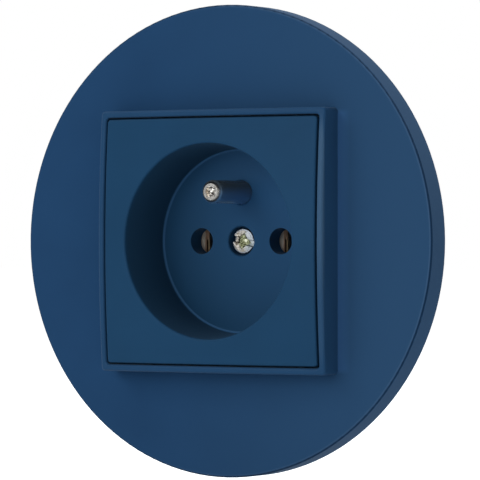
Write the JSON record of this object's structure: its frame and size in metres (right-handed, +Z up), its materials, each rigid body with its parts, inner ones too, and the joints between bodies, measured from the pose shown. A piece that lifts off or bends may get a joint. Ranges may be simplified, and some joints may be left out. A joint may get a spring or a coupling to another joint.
{
  "type": "wall socket",
  "caption": "Flush earthed wall socket: round navy cover plate, raised square bezel, domed square centre with a round well, earth pin, pin holes and screw.",
  "frame": {"origin": "middle of the wall's face, where the plug's axis meets the plane that the cover plate and the support ring rest on", "axes": "+Y points into the wall, so the socket faces -Y; +Z is up, towards the earth pin; +X is to the right as seen from the room"},
  "size_m": [0.0964, 0.0358, 0.0964],
  "materials": {
    "navy_plate": "satin moulded plastic, navy blue",
    "navy_bezel": "satin moulded plastic, navy blue",
    "navy_cover": "satin moulded plastic, navy blue",
    "zinc_screw": "zinc plated, slightly yellow",
    "zinc_sheet": "zinc plated sheet",
    "nickel_pin": "nickel plated and polished",
    "bronze_clip": "rolled spring bronze",
    "brass_block": "turned and milled brass",
    "grey_base": "light grey thermoset moulding",
    "grey_lid": "light grey thermoset moulding"
  },
  "bodies": {
    "root": {"round_cover_plate": "navy_plate", "square_bezel": "navy_bezel", "socket_cover": "navy_cover", "cover_screw": "zinc_screw", "earth_pin": "nickel_pin", "earth_strap": "brass_block", "support_ring": "zinc_sheet", "support_ring_screws": "zinc_screw", "contact_lid": "grey_lid", "lid_screws": "zinc_screw", "contact_base": "grey_base", "line_contact": "bronze_clip", "neutral_contact": "bronze_clip", "line_terminal": "brass_block", "line_terminal_screw": "zinc_screw", "line_rivet": "brass_block", "neutral_terminal": "brass_block", "neutral_terminal_screw": "zinc_screw", "neutral_rivet": "brass_block", "earth_terminal": "brass_block", "earth_terminal_screw": "zinc_screw", "earth_rivet": "brass_block"}
  },
  "joints": []
}
